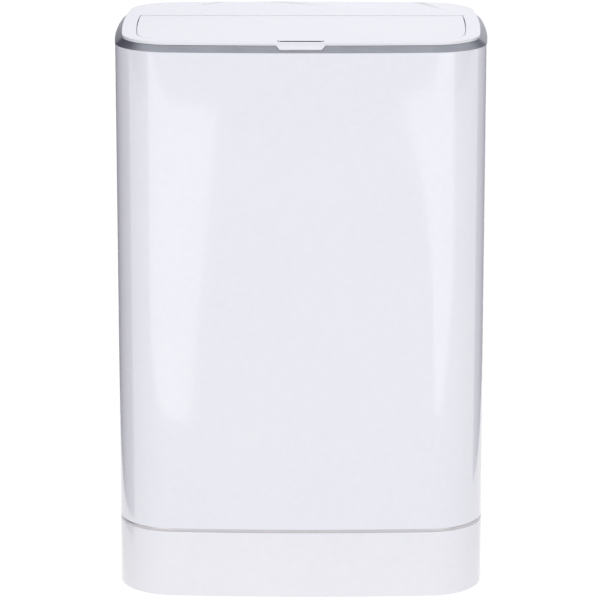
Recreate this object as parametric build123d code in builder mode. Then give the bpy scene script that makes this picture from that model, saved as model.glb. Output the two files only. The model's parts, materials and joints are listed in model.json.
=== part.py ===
"""Hand-worked household trash compactor: a tall bin whose lid carries a lazy-tongs press.

Millimetres. The origin is on the floor under the middle of the bin, +Z is up, the front
faces -Y and +X is to the right of somebody who stands behind it.
"""

import os
from math import cos, radians, sin, sqrt

from build123d import *

# Outline of the bin
WIDTH = 420.0
DEPTH = 300.0
CORNER = 64.0
FRONT_BOW = 9.0
SIDE_BOW = 8.5

# Heights of the outer stack
FOOT_HEIGHT = 3.0
BASE_TOP = 79.5
STRIP_TOP = 83.25
SHELL_TOP = 630.0
TRIM_TOP = 636.5
LID_TOP = 640.0

# Walls and steps of the outer stack, as distances in from the outline
BASE_WALL = 3.0
SHELL_WALL = 1.2
TRIM_LEAN = 8.0
TRIM_WIDTH = 12.0
LINING = 1.5
LINING_INNER = 4.0
GASKET_OUTER, GASKET_INNER = 14.0, 19.0
SKIRT_OUTER, SKIRT_INNER = 21.0, 24.0
FLAP_GAP = 0.8
SKIN = 3.2
SKIN_BOTTOM = LID_TOP - SKIN

# Bucket and the frame that it hangs in
RIM_BOTTOM, RIM_TOP = 618.0, 621.0
RIM_SKIRT_BOTTOM = 590.0
RIM_INNER = 30.0
BUCKET_BOTTOM = 84.0
BUCKET_WALL = 2.0
BUCKET_MOUTH, BUCKET_FOOT = 31.0, 43.0
BUCKET_FLANGE = 2.5
GRIP_HOLE = (90.0, 20.0)
GRIP_HEIGHT = 594.0

# Lid hinge, flap hinge and the lid's carrier
LID_AXIS = (143.0, 634.5)
LID_KNUCKLE = 4.2
LID_PIN = 2.0
HINGE_X = 90.0
KNUCKLE_WIDTH = 30.0
LUG_WIDTH = 6.0
FLAP_AXIS = (38.0, 636.8)
FLAP_PIN = 1.5
NOSE_GAP = 0.6
CARRIER_BOTTOM, CARRIER_TOP = 626.0, 629.0
CARRIER_OUTER = 24.2
CARRIER_OPENING = (320.0, -110.0, 32.0)
FIT = 0.05

# Lazy tongs: two levels of crossing bars at each side
BAR = 180.0
BAR_HEIGHT = 11.0
BAR_THICK = 3.5
REST_ANGLE = 8.0
PIVOT_Y, PIVOT_Z = 90.0, 612.0
OUTER_BARS = 157.0
INNER_BARS = 152.5
CHEEK_X = 161.0
CHEEK_THICK = 3.0
RAIL_X = 147.5
ROD = 3.0
SLOT_PLAY = 0.15
FULL_ANGLE = 50.0

# Press plate and its handle
PLATE_BOTTOM, PLATE_TOP = 546.0, 552.0
PLATE_INSET = 54.0
WIPER_INSET = 51.5
HANDLE_Y = -28.0
HANDLE_SPAN = 124.0
HANDLE_TOP = 605.0
HANDLE_BAR = 6.0
GRIP_RADIUS = 12.5
GRIP_LENGTH = 86.0

# Rest positions of the bars' ends, front and rear, at the three levels
REACH = BAR * cos(radians(REST_ANGLE))
LEVEL = BAR * sin(radians(REST_ANGLE))
FRONT_Y = PIVOT_Y - REACH
MIDDLE_Y = PIVOT_Y - REACH / 2
MID_Z = PIVOT_Z - LEVEL
LOW_Z = PIVOT_Z - 2 * LEVEL
SLIDE = REACH - BAR * cos(radians(FULL_ANGLE))

os.makedirs("parts", exist_ok=True)


def bow_radius(half_length, bow):
    """Radius of an arc that bows by the given height over twice a half length."""
    return (half_length**2 + bow**2) / (2 * bow)


FRONT_RADIUS = bow_radius(WIDTH / 2 - SIDE_BOW, FRONT_BOW)
SIDE_RADIUS = bow_radius(DEPTH / 2 - FRONT_BOW, SIDE_BOW)


def footprint(inset=0.0):
    """Rounded outline with bowed sides, moved in by an inset."""
    x, y = WIDTH / 2 - inset, DEPTH / 2 - inset
    middle_x, middle_y = x, y
    for _ in range(8):
        y = DEPTH / 2 - FRONT_RADIUS + sqrt((FRONT_RADIUS - inset) ** 2 - x**2)
        x = WIDTH / 2 - SIDE_RADIUS + sqrt((SIDE_RADIUS - inset) ** 2 - y**2)
    with BuildSketch() as outline:
        with BuildLine() as edge:
            ThreePointArc((-x, -y), (0, -middle_y), (x, -y))
            ThreePointArc((x, -y), (middle_x, 0), (x, y))
            ThreePointArc((x, y), (0, middle_y), (-x, y))
            ThreePointArc((-x, y), (-middle_x, 0), (-x, -y))
            fillet(edge.vertices(), CORNER - inset)
        make_face()
    return outline.sketch


def band(outer, inner):
    """The flat strip between two insets of the outline."""
    with BuildSketch() as strip:
        add(footprint(outer))
        add(footprint(inner), mode=Mode.SUBTRACT)
    return strip.sketch


def flap_plan(inset, rear):
    """The outline at an inset, cut straight across at the rear."""
    with BuildSketch() as plan:
        add(footprint(inset))
        with Locations((0, rear + DEPTH / 2)):
            Rectangle(WIDTH, DEPTH, mode=Mode.SUBTRACT)
    return plan.sketch


def save(piece, label):
    """Name a finished piece and write it."""
    piece.part.label = label
    export_step(piece.part, f"parts/{label}.step")


def across(x, y, z):
    """A plane that faces along +X, with its own x along +Y and its own y along +Z."""
    return Plane(origin=(x, y, z), x_dir=(0, 1, 0), z_dir=(1, 0, 0))


# ---------------------------------------------------------------- base
FOOT_PLACES = [(x, y) for x in (-140, 140) for y in (-92, 92)]
BASE_SCREWS = [(x, y) for x in (-165, 0, 165) for y in (-100, 100)]
BASE_FLOOR = 3.0
COVER_THICK = 3.0
COVER_TOP = FOOT_HEIGHT + COVER_THICK
COVER_GAP = 0.2
BASE_CHAMFER = 1.2
BASE_RIB, BASE_RIB_DEPTH = 2.4, 20.0
BASE_RIB_YS, BASE_RIB_LENGTH = (-60.0, 60.0), WIDTH - 30.0
BASE_RIB_XS, BASE_RIB_REACH = (-110.0, -55.0, 55.0, 110.0), DEPTH - 22.0
SCREW_BOSS = 6.0
BASE_SCREW, BASE_HEAD = 2.0, 4.0
HEAD_SINK, HEAD_GAP = 1.6, 0.2
BASE_SCREW_REACH = 16.0
FOOT_PAD, FOOT_CHAMFER = 18.0, 0.8

with BuildPart() as base_plinth:
    with BuildSketch(Plane.XY.offset(FOOT_HEIGHT)):
        add(footprint())
    extrude(amount=BASE_TOP - FOOT_HEIGHT)
    chamfer(base_plinth.faces().sort_by(Axis.Z)[0].edges(), BASE_CHAMFER)
    with BuildSketch(Plane.XY.offset(FOOT_HEIGHT)):
        add(footprint(BASE_WALL))
    extrude(amount=BASE_TOP - FOOT_HEIGHT - BASE_FLOOR, mode=Mode.SUBTRACT)
    with BuildSketch(Plane.XY.offset(BASE_TOP - BASE_RIB_DEPTH)):
        with Locations([(0, y) for y in BASE_RIB_YS]):
            Rectangle(BASE_RIB_LENGTH, BASE_RIB)
        with Locations([(x, 0) for x in BASE_RIB_XS]):
            Rectangle(BASE_RIB, BASE_RIB_REACH)
    extrude(amount=BASE_RIB_DEPTH - BASE_FLOOR)
    with BuildSketch(Plane.XY.offset(COVER_TOP)):
        with Locations(BASE_SCREWS):
            Circle(SCREW_BOSS)
            Circle(BASE_SCREW + FIT, mode=Mode.SUBTRACT)
    extrude(amount=BASE_TOP - BASE_FLOOR - COVER_TOP)
save(base_plinth, "base_plinth")

with BuildPart() as bottom_cover:
    with BuildSketch(Plane.XY.offset(FOOT_HEIGHT)):
        add(footprint(BASE_WALL + COVER_GAP))
        with Locations(BASE_SCREWS):
            Circle(BASE_SCREW + FIT, mode=Mode.SUBTRACT)
    extrude(amount=COVER_THICK)
    with BuildSketch(Plane.XY.offset(FOOT_HEIGHT)):
        with Locations(BASE_SCREWS):
            Circle(BASE_HEAD + HEAD_GAP)
    extrude(amount=HEAD_SINK, mode=Mode.SUBTRACT)
save(bottom_cover, "bottom_cover")

with BuildPart() as base_screws:
    with BuildSketch(Plane.XY.offset(FOOT_HEIGHT + HEAD_GAP)):
        with Locations(BASE_SCREWS):
            Circle(BASE_HEAD)
    extrude(amount=HEAD_SINK - HEAD_GAP)
    with BuildSketch(Plane.XY.offset(FOOT_HEIGHT + HEAD_SINK)):
        with Locations(BASE_SCREWS):
            Circle(BASE_SCREW)
    extrude(amount=BASE_SCREW_REACH)
save(base_screws, "base_screws")

with BuildPart() as foot_pads:
    with BuildSketch():
        with Locations(FOOT_PLACES):
            Circle(FOOT_PAD)
    extrude(amount=FOOT_HEIGHT)
    chamfer(foot_pads.edges().group_by(Axis.Z)[0], FOOT_CHAMFER)
save(foot_pads, "foot_pads")

# ---------------------------------------------------------------- shell and trims
STRIP_WIDTH = 8.0
LINING_CLEAR = 1.0
HINGE_NOTCH = (KNUCKLE_WIDTH + 2 * LUG_WIDTH + 8.0, 30.0)

with BuildPart() as lower_trim_strip:
    with BuildSketch(Plane.XY.offset(BASE_TOP)):
        add(band(0, STRIP_WIDTH))
    extrude(amount=STRIP_TOP - BASE_TOP)
save(lower_trim_strip, "lower_trim_strip")

with BuildPart() as body_shell:
    with BuildSketch(Plane.XY.offset(STRIP_TOP)):
        add(band(0, SHELL_WALL))
    extrude(amount=SHELL_TOP - STRIP_TOP)
save(body_shell, "body_shell")

SLOPE_PLANE = Plane(
    origin=(0, TRIM_LEAN - DEPTH / 2, TRIM_TOP),
    x_dir=(1, 0, 0),
    z_dir=(0, SHELL_TOP - TRIM_TOP, TRIM_LEAN),
)
TAB_TOP, TAB_FOOT = 58.0, 47.0
TAB_RISE, TAB_DROP = 4.0, 6.2
TAB_PROUD, TAB_SUNK = 1.0, 1.4
TAB_CORNER, TAB_GAP = 1.5, 0.5


def tab_outline(grow):
    """Trapezium of the finger tab on the trim's slope, grown by a gap."""
    with BuildSketch(Plane.XY) as outline:
        with BuildLine():
            Polyline(
                (-TAB_TOP / 2 - grow, TAB_RISE + grow),
                (TAB_TOP / 2 + grow, TAB_RISE + grow),
                (TAB_FOOT / 2 + grow, -TAB_DROP - grow),
                (-TAB_FOOT / 2 - grow, -TAB_DROP - grow),
                close=True,
            )
        make_face()
        fillet(outline.vertices(), TAB_CORNER)
    return outline.sketch


with BuildPart() as top_trim_ring:
    with BuildSketch(Plane.XY.offset(SHELL_TOP)):
        add(footprint())
    with BuildSketch(Plane.XY.offset(TRIM_TOP)):
        add(footprint(TRIM_LEAN))
    loft()
    with BuildSketch(Plane.XY.offset(SHELL_TOP)):
        add(footprint(TRIM_WIDTH))
    extrude(amount=TRIM_TOP - SHELL_TOP, mode=Mode.SUBTRACT)
    with BuildSketch(Plane.XY.offset(RIM_TOP + LINING_CLEAR)):
        add(band(LINING, LINING_INNER))
    extrude(amount=SHELL_TOP - RIM_TOP - LINING_CLEAR)
    with BuildSketch(SLOPE_PLANE):
        add(tab_outline(TAB_GAP))
    extrude(amount=-TAB_SUNK - TAB_GAP, mode=Mode.SUBTRACT)
    with BuildSketch(Plane.XY.offset(RIM_TOP)):
        with Locations((-HINGE_X, DEPTH / 2), (HINGE_X, DEPTH / 2)):
            Rectangle(*HINGE_NOTCH)
    extrude(amount=LID_TOP - RIM_TOP, mode=Mode.SUBTRACT)
save(top_trim_ring, "top_trim_ring")

# ---------------------------------------------------------------- rim frame and bucket
UPSTAND_HEIGHT = 10.7
HANG_GAP = 1.0
RETAINER_THICK = 1.7
PAD_PLACES = [(x, y) for x in (-120, 120) for y in (-70, 70)]
PAD_RADIUS = 14.0

with BuildPart() as rim_frame:
    with BuildSketch(Plane.XY.offset(RIM_BOTTOM)):
        add(band(LINING, RIM_INNER))
    extrude(amount=RIM_TOP - RIM_BOTTOM)
    with BuildSketch(Plane.XY.offset(RIM_SKIRT_BOTTOM)):
        add(band(LINING, LINING_INNER))
    extrude(amount=RIM_BOTTOM - RIM_SKIRT_BOTTOM)
    with BuildSketch(Plane.XY.offset(RIM_TOP)):
        add(band(GASKET_OUTER, GASKET_INNER - HANG_GAP))
    extrude(amount=UPSTAND_HEIGHT)
save(rim_frame, "rim_frame")

with BuildPart() as bucket:
    with BuildSketch(Plane.XY.offset(BUCKET_BOTTOM)):
        add(footprint(BUCKET_FOOT))
    with BuildSketch(Plane.XY.offset(RIM_TOP)):
        add(footprint(BUCKET_MOUTH))
    loft()
    with BuildSketch(Plane.XY.offset(RIM_TOP)):
        add(footprint(SKIRT_INNER + HANG_GAP))
    extrude(amount=BUCKET_FLANGE)
    with BuildSketch(Plane.XY.offset(BUCKET_BOTTOM + BUCKET_WALL)):
        add(footprint(BUCKET_FOOT + BUCKET_WALL))
    with BuildSketch(Plane.XY.offset(RIM_TOP)):
        add(footprint(BUCKET_MOUTH + BUCKET_WALL))
    loft(mode=Mode.SUBTRACT)
    with BuildSketch(Plane.XY.offset(RIM_TOP)):
        add(footprint(BUCKET_MOUTH + BUCKET_WALL))
    extrude(amount=BUCKET_FLANGE, mode=Mode.SUBTRACT)
    with BuildSketch(Plane.YZ):
        with Locations((0, GRIP_HEIGHT)):
            SlotOverall(*GRIP_HOLE)
    extrude(amount=WIDTH / 2, both=True, mode=Mode.SUBTRACT)
save(bucket, "bucket")

with BuildPart() as bag_retainer:
    with BuildSketch(Plane.XY.offset(RIM_TOP + BUCKET_FLANGE)):
        add(band(SKIRT_INNER + HANG_GAP, BUCKET_MOUTH + BUCKET_WALL))
    extrude(amount=RETAINER_THICK)
save(bag_retainer, "bag_retainer")

with BuildPart() as bucket_pads:
    with BuildSketch(Plane.XY.offset(BASE_TOP)):
        with Locations(PAD_PLACES):
            Circle(PAD_RADIUS)
    extrude(amount=BUCKET_BOTTOM - BASE_TOP)
save(bucket_pads, "bucket_pads")

# ---------------------------------------------------------------- lid hinge
LUG_GAP = 0.4
LUG_X = KNUCKLE_WIDTH / 2 + LUG_WIDTH / 2 + LUG_GAP
LUG_PLACES = [side * HINGE_X + step for side in (-1, 1) for step in (-LUG_X, LUG_X)]
LUG_FOOT, LUG_FOOT_Y = 7.0, -0.6

with BuildPart() as hinge_brackets:
    for lug_x in LUG_PLACES:
        with BuildSketch(across(lug_x - LUG_WIDTH / 2, LID_AXIS[0], LID_AXIS[1])):
            Circle(LID_KNUCKLE)
            with Locations((LUG_FOOT_Y, (RIM_TOP - LID_AXIS[1]) / 2)):
                Rectangle(LUG_FOOT, LID_AXIS[1] - RIM_TOP)
            Circle(LID_PIN + FIT, mode=Mode.SUBTRACT)
        extrude(amount=LUG_WIDTH)
save(hinge_brackets, "hinge_brackets")

PIN_LENGTH = KNUCKLE_WIDTH + 2 * LUG_WIDTH + 2

with BuildPart() as lid_hinge_pins:
    for side in (-1, 1):
        with BuildSketch(across(side * HINGE_X - PIN_LENGTH / 2, *LID_AXIS)):
            Circle(LID_PIN)
        extrude(amount=PIN_LENGTH)
save(lid_hinge_pins, "lid_hinge_pins")

# ---------------------------------------------------------------- lid
LEDGE_BOTTOM, LEDGE_TOP = 632.0, 634.9
LEDGE_INNER = 28.0
DECK_FRONT = FLAP_AXIS[0] + SKIN + NOSE_GAP
SLOT_WIDTH = 51.0
SLOT_FRONT, SLOT_REAR = -136.0, -120.0
REAR_BOSSES = [(x, y) for x in (-140, 140) for y in (52, 108)]
FRONT_BOSSES = [(x, -119.0) for x in (-75, 75)]
BOSS = 4.5
LID_SCREW = 1.5
DECK_ROUND = 1.0
LEDGE_REAR = 30.0
SKIRT_GAP = 1.0
SLOT_DEPTH = 5.0
KNUCKLE_WEB, KNUCKLE_WEB_PLACE = (7.6, 6.0), (-3.8, 1.2)
LUG_POCKET = (LUG_WIDTH + 2 * LUG_GAP, 2 * LID_KNUCKLE + 5.0)
LUG_POCKET_Y = LID_AXIS[0] + 2.0

with BuildPart() as lid_frame:
    with BuildSketch(Plane.XY.offset(SKIN_BOTTOM)):
        add(footprint(TRIM_LEAN))
    extrude(amount=SKIN)
    fillet(lid_frame.faces().sort_by(Axis.Z)[-1].edges(), DECK_ROUND)
    with BuildSketch(Plane.XY.offset(SKIN_BOTTOM)):
        add(flap_plan(SKIRT_INNER, DECK_FRONT))
    extrude(amount=SKIN, mode=Mode.SUBTRACT)
    with BuildSketch(Plane.XY.offset(RIM_TOP + BUCKET_FLANGE + SKIRT_GAP)):
        add(band(SKIRT_OUTER, SKIRT_INNER))
    extrude(amount=SKIN_BOTTOM - RIM_TOP - BUCKET_FLANGE - SKIRT_GAP)
    with BuildSketch(Plane.XY.offset(LEDGE_BOTTOM)):
        add(band(SKIRT_OUTER + SKIRT_GAP, LEDGE_INNER))
        with Locations((0, LEDGE_REAR + DEPTH / 2)):
            Rectangle(WIDTH, DEPTH, mode=Mode.SUBTRACT)
    extrude(amount=LEDGE_TOP - LEDGE_BOTTOM)
    with BuildSketch(Plane.XY.offset(LEDGE_TOP - SLOT_DEPTH)):
        with Locations((0, (SLOT_FRONT + SLOT_REAR) / 2)):
            RectangleRounded(SLOT_WIDTH, SLOT_REAR - SLOT_FRONT, TAB_CORNER)
    extrude(amount=LID_TOP - LEDGE_TOP + SLOT_DEPTH, mode=Mode.SUBTRACT)
    with BuildSketch(SLOPE_PLANE.offset(-TAB_SUNK)):
        add(tab_outline(0))
    extrude(amount=TAB_SUNK + TAB_PROUD)
    with BuildSketch(Plane.XY.offset(CARRIER_TOP)):
        with Locations(REAR_BOSSES):
            Circle(BOSS)
            Circle(LID_SCREW + FIT, mode=Mode.SUBTRACT)
    extrude(amount=SKIN_BOTTOM - CARRIER_TOP)
    with BuildSketch(Plane.XY.offset(CARRIER_TOP)):
        with Locations(FRONT_BOSSES):
            Circle(BOSS)
            Circle(LID_SCREW + FIT, mode=Mode.SUBTRACT)
    extrude(amount=LEDGE_BOTTOM - CARRIER_TOP)
    for side in (-1, 1):
        with BuildSketch(across(side * HINGE_X - KNUCKLE_WIDTH / 2, *LID_AXIS)):
            Circle(LID_KNUCKLE)
            with Locations(KNUCKLE_WEB_PLACE):
                Rectangle(*KNUCKLE_WEB)
            Circle(LID_PIN + FIT, mode=Mode.SUBTRACT)
        extrude(amount=KNUCKLE_WIDTH)
    with BuildSketch(across(-WIDTH / 2, *FLAP_AXIS)):
        Circle(FLAP_PIN + FIT)
    extrude(amount=WIDTH, mode=Mode.SUBTRACT)
    with BuildSketch(Plane.XY.offset(SKIN_BOTTOM)):
        with Locations([(lug_x, LUG_POCKET_Y) for lug_x in LUG_PLACES]):
            Rectangle(*LUG_POCKET)
    extrude(amount=SKIN, mode=Mode.SUBTRACT)
save(lid_frame, "lid_frame")

GASKET_CUT = (SLOT_WIDTH + 4.0, SLOT_REAR - SLOT_FRONT + 6.0)

with BuildPart() as lid_gasket:
    with BuildSketch(Plane.XY.offset(LEDGE_BOTTOM)):
        add(band(GASKET_OUTER, GASKET_INNER))
    extrude(amount=SKIN_BOTTOM - LEDGE_BOTTOM)
    with BuildSketch(Plane.XY.offset(LEDGE_BOTTOM)):
        with Locations((0, (SLOT_FRONT + SLOT_REAR) / 2)):
            Rectangle(*GASKET_CUT)
    extrude(amount=SKIN_BOTTOM - LEDGE_BOTTOM, mode=Mode.SUBTRACT)
save(lid_gasket, "lid_gasket")

FILTER = (132.0, 52.0)
FILTER_Y = 84.0
MAGNETS = [(-112.0, -117.5), (112.0, -117.5)]
OPEN_WIDTH, OPEN_FRONT, OPEN_REAR = CARRIER_OPENING
CHEEK_FRONT, CHEEK_REAR = -98.0, 100.0
CHEEK_BOTTOM = PIVOT_Z - 10.0
OPEN_CORNER = 12.0
VENT_COUNT, VENT_PITCH, VENT = 8, 15.0, (40.0, 8.0)
MAGNET, MAGNET_THICK, MAGNET_DROP, MAGNET_GAP = 4.0, 3.4, 0.4, 0.1
CARRIER_SINK, CARRIER_HEAD = 1.8, 3.3
SLOT_EXTRA = 1.0

with BuildPart() as press_carrier:
    with BuildSketch(Plane.XY.offset(CARRIER_BOTTOM)):
        add(footprint(CARRIER_OUTER))
        with Locations((0, (OPEN_FRONT + OPEN_REAR) / 2)):
            RectangleRounded(OPEN_WIDTH, OPEN_REAR - OPEN_FRONT, OPEN_CORNER, mode=Mode.SUBTRACT)
        with Locations((0, FILTER_Y)):
            with GridLocations(VENT_PITCH, 0, VENT_COUNT, 1):
                SlotOverall(*VENT, rotation=90, mode=Mode.SUBTRACT)
        with Locations(REAR_BOSSES + FRONT_BOSSES):
            Circle(LID_SCREW + FIT, mode=Mode.SUBTRACT)
        with Locations(MAGNETS):
            Circle(MAGNET + MAGNET_GAP, mode=Mode.SUBTRACT)
    extrude(amount=CARRIER_TOP - CARRIER_BOTTOM)
    with BuildSketch(Plane.XY.offset(CARRIER_BOTTOM)):
        with Locations(REAR_BOSSES + FRONT_BOSSES):
            Circle(CARRIER_HEAD + HEAD_GAP)
    extrude(amount=CARRIER_SINK, mode=Mode.SUBTRACT)
    for side_x in (-CHEEK_X - CHEEK_THICK, CHEEK_X):
        with BuildSketch(across(side_x, 0, 0)):
            with Locations(((CHEEK_FRONT + CHEEK_REAR) / 2, (CHEEK_BOTTOM + CARRIER_BOTTOM) / 2)):
                Rectangle(CHEEK_REAR - CHEEK_FRONT, CARRIER_BOTTOM - CHEEK_BOTTOM)
            with Locations((FRONT_Y + SLIDE / 2, PIVOT_Z)):
                SlotCenterToCenter(SLIDE + SLOT_EXTRA, 2 * (ROD + SLOT_PLAY), mode=Mode.SUBTRACT)
            with Locations((PIVOT_Y, PIVOT_Z)):
                Circle(ROD + FIT, mode=Mode.SUBTRACT)
        extrude(amount=CHEEK_THICK)
save(press_carrier, "press_carrier")

with BuildPart() as carrier_screws:
    with BuildSketch(Plane.XY.offset(CARRIER_BOTTOM + HEAD_GAP)):
        with Locations(REAR_BOSSES + FRONT_BOSSES):
            Circle(CARRIER_HEAD)
    extrude(amount=CARRIER_SINK - HEAD_GAP)
    with BuildSketch(Plane.XY.offset(CARRIER_BOTTOM + CARRIER_SINK)):
        with Locations(REAR_BOSSES + FRONT_BOSSES):
            Circle(LID_SCREW)
    extrude(amount=LEDGE_BOTTOM - CARRIER_BOTTOM - CARRIER_SINK)
save(carrier_screws, "carrier_screws")

with BuildPart() as catch_magnets:
    with BuildSketch(Plane.XY.offset(CARRIER_BOTTOM - MAGNET_DROP)):
        with Locations(MAGNETS):
            Circle(MAGNET)
    extrude(amount=MAGNET_THICK)
save(catch_magnets, "catch_magnets")

FILTER_WALL, FILTER_CORNER = 4.0, 4.0
FILTER_GAP = 0.3

with BuildPart() as filter_frame:
    with BuildSketch(Plane.XY.offset(CARRIER_TOP)):
        with Locations((0, FILTER_Y)):
            RectangleRounded(FILTER[0] + 2 * FILTER_WALL, FILTER[1] + 2 * FILTER_WALL, FILTER_CORNER)
            Rectangle(*FILTER, mode=Mode.SUBTRACT)
    extrude(amount=SKIN_BOTTOM - CARRIER_TOP - FILTER_GAP)
save(filter_frame, "filter_frame")

with BuildPart() as filter_pad:
    with BuildSketch(Plane.XY.offset(CARRIER_TOP)):
        with Locations((0, FILTER_Y)):
            Rectangle(FILTER[0] - 2 * FILTER_GAP, FILTER[1] - 2 * FILTER_GAP)
    extrude(amount=SKIN_BOTTOM - CARRIER_TOP - 2 * FILTER_GAP)
save(filter_pad, "filter_pad")

SPRING_WIDTH = 12.0
SPRING_OUTER, SPRING_INNER = 8.0, 5.0
SPRING_X = RAIL_X - 4.0

with BuildPart() as return_springs:
    for spring_x in (-SPRING_X - SPRING_WIDTH / 2, SPRING_X - SPRING_WIDTH / 2):
        with BuildSketch(across(spring_x, PIVOT_Y, PIVOT_Z)):
            Circle(SPRING_OUTER)
            Circle(SPRING_INNER, mode=Mode.SUBTRACT)
        extrude(amount=SPRING_WIDTH)
save(return_springs, "return_springs")

# ---------------------------------------------------------------- flap
FLAP_OUTER = SKIRT_INNER + FLAP_GAP
NOSE_LENGTH = WIDTH - 2 * FLAP_OUTER - 2.4
NOSE_BORE = 8.0
COVER_REAR = 30.0
LINER_BOTTOM = 632.4
FLAP_SCREWS = [(x, y) for x in (-120, 120) for y in (-90, 10)]
LIP = (SLOT_WIDTH - 4.0, 5.0)
LINER_OUTER = LEDGE_INNER + 1.2
LINER_WALL, LINER_THICK = 2.0, 1.8
SEAL_GAP = 0.3
SEAL_EDGE = 0.6
SEAL_CUT = 12.0
FLAP_PIN_LENGTH, FLAP_PIN_PROUD = 11.0, 4.0
FLAP_HEAD, FLAP_HEAD_THICK, FLAP_SCREW_SHORT = 3.2, 1.2, 0.1

with BuildPart() as flap_panel:
    with BuildSketch(Plane.XY.offset(SKIN_BOTTOM)):
        add(flap_plan(FLAP_OUTER, FLAP_AXIS[0]))
        with Locations((0, -DEPTH / 2 + FLAP_OUTER)):
            Rectangle(*LIP)
    extrude(amount=SKIN)
    with BuildSketch(across(-NOSE_LENGTH / 2, *FLAP_AXIS)):
        Circle(SKIN)
    extrude(amount=NOSE_LENGTH)
    for bore_x in (-WIDTH / 2, NOSE_LENGTH / 2 - NOSE_BORE):
        with BuildSketch(across(bore_x, *FLAP_AXIS)):
            Circle(FLAP_PIN + FIT)
        extrude(amount=WIDTH / 2 - NOSE_LENGTH / 2 + NOSE_BORE, mode=Mode.SUBTRACT)
save(flap_panel, "flap_panel")

with BuildPart() as flap_liner:
    with BuildSketch(Plane.XY.offset(LINER_BOTTOM)):
        add(flap_plan(LINER_OUTER, COVER_REAR))
    extrude(amount=SKIN_BOTTOM - LINER_BOTTOM)
    with BuildSketch(Plane.XY.offset(LINER_BOTTOM + LINER_THICK)):
        add(flap_plan(LINER_OUTER + LINER_WALL, COVER_REAR - LINER_WALL))
        with Locations(FLAP_SCREWS):
            Circle(BOSS, mode=Mode.SUBTRACT)
    extrude(amount=SKIN_BOTTOM - LINER_BOTTOM - LINER_THICK, mode=Mode.SUBTRACT)
    with BuildSketch(Plane.XY.offset(LINER_BOTTOM)):
        with Locations(FLAP_SCREWS):
            Circle(LID_SCREW + FIT)
    extrude(amount=SKIN_BOTTOM - LINER_BOTTOM, mode=Mode.SUBTRACT)
save(flap_liner, "flap_liner")

with BuildPart() as flap_seal:
    with BuildSketch(Plane.XY.offset(LEDGE_TOP + SEAL_GAP)):
        add(band(FLAP_OUTER + SEAL_EDGE, LEDGE_INNER + SEAL_EDGE))
        with Locations((0, COVER_REAR + DEPTH / 2)):
            Rectangle(WIDTH, DEPTH, mode=Mode.SUBTRACT)
        with Locations((0, SLOT_REAR - SEAL_CUT / 2)):
            Rectangle(SLOT_WIDTH, SEAL_CUT, mode=Mode.SUBTRACT)
    extrude(amount=SKIN_BOTTOM - LEDGE_TOP - SEAL_GAP)
save(flap_seal, "flap_seal")

with BuildPart() as flap_pins:
    for pin_x in (
        -NOSE_LENGTH / 2 - FLAP_PIN_PROUD,
        NOSE_LENGTH / 2 + FLAP_PIN_PROUD - FLAP_PIN_LENGTH,
    ):
        with BuildSketch(across(pin_x, *FLAP_AXIS)):
            Circle(FLAP_PIN)
        extrude(amount=FLAP_PIN_LENGTH)
save(flap_pins, "flap_pins")

with BuildPart() as flap_screws:
    with BuildSketch(Plane.XY.offset(LINER_BOTTOM - FLAP_HEAD_THICK)):
        with Locations(FLAP_SCREWS):
            Circle(FLAP_HEAD)
    extrude(amount=FLAP_HEAD_THICK)
    with BuildSketch(Plane.XY.offset(LINER_BOTTOM)):
        with Locations(FLAP_SCREWS):
            Circle(LID_SCREW)
    extrude(amount=SKIN_BOTTOM - LINER_BOTTOM - FLAP_SCREW_SHORT)
save(flap_screws, "flap_screws")


# ---------------------------------------------------------------- lazy tongs
def bar_profile(holes):
    """Flat bar that slopes down from a front pin to a rear one, with its bores."""
    with BuildSketch() as profile:
        SlotCenterToCenter(BAR, BAR_HEIGHT)
        with Locations(holes):
            Circle(ROD + FIT, mode=Mode.SUBTRACT)
    return profile.sketch


def bar_plane(x, top, slope):
    """Plane of a bar whose middle is half a level below its top, at its resting slope."""
    return Plane(
        origin=(x, MIDDLE_Y, top - LEVEL / 2),
        x_dir=(0, cos(radians(slope)), sin(radians(slope))),
        z_dir=(1, 0, 0),
    )


BAR_HOLES = [(-BAR / 2, 0), (0, 0), (BAR / 2, 0)]
BARS = {
    "outer_upper_arms": (OUTER_BARS, PIVOT_Z, REST_ANGLE),
    "inner_upper_arms": (INNER_BARS, PIVOT_Z, -REST_ANGLE),
    "outer_lower_arms": (OUTER_BARS, MID_Z, REST_ANGLE),
    "inner_lower_arms": (INNER_BARS, MID_Z, -REST_ANGLE),
}

for label, (inner_face, top, slope) in BARS.items():
    with BuildPart() as arms:
        for face_x in (-inner_face - BAR_THICK, inner_face):
            with BuildSketch(bar_plane(face_x, top, slope)):
                add(bar_profile(BAR_HOLES))
            extrude(amount=BAR_THICK)
    save(arms, label)

# Pins that stand at each side: name, place and the stretch of X that they fill
PIN_HEAD, HEAD_THICK = 4.4, 0.9
PIN_PROUD = 0.4
OUTER_FACE = OUTER_BARS + BAR_THICK
PINS = {
    "upper_centre_pins": (MIDDLE_Y, PIVOT_Z - LEVEL / 2, INNER_BARS, OUTER_FACE),
    "front_link_pins": (FRONT_Y, MID_Z, INNER_BARS, OUTER_FACE),
    "lower_centre_pins": (MIDDLE_Y, MID_Z - LEVEL / 2, INNER_BARS, OUTER_FACE),
    "top_slider_pins": (FRONT_Y, PIVOT_Z, INNER_BARS, CHEEK_X + CHEEK_THICK + PIN_PROUD),
    "bottom_slider_pins": (FRONT_Y, LOW_Z, RAIL_X, OUTER_FACE),
    "plate_pins": (PIVOT_Y, LOW_Z, RAIL_X, INNER_BARS + BAR_THICK),
}

for label, (y, z, start, stop) in PINS.items():
    with BuildPart() as pins:
        for face_x in (-stop, start):
            with BuildSketch(across(face_x, y, z)):
                Circle(ROD)
            extrude(amount=stop - start)
        for face_x in (-start, start - HEAD_THICK):
            with BuildSketch(across(face_x, y, z)):
                Circle(PIN_HEAD)
            extrude(amount=HEAD_THICK)
    save(pins, label)

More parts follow.
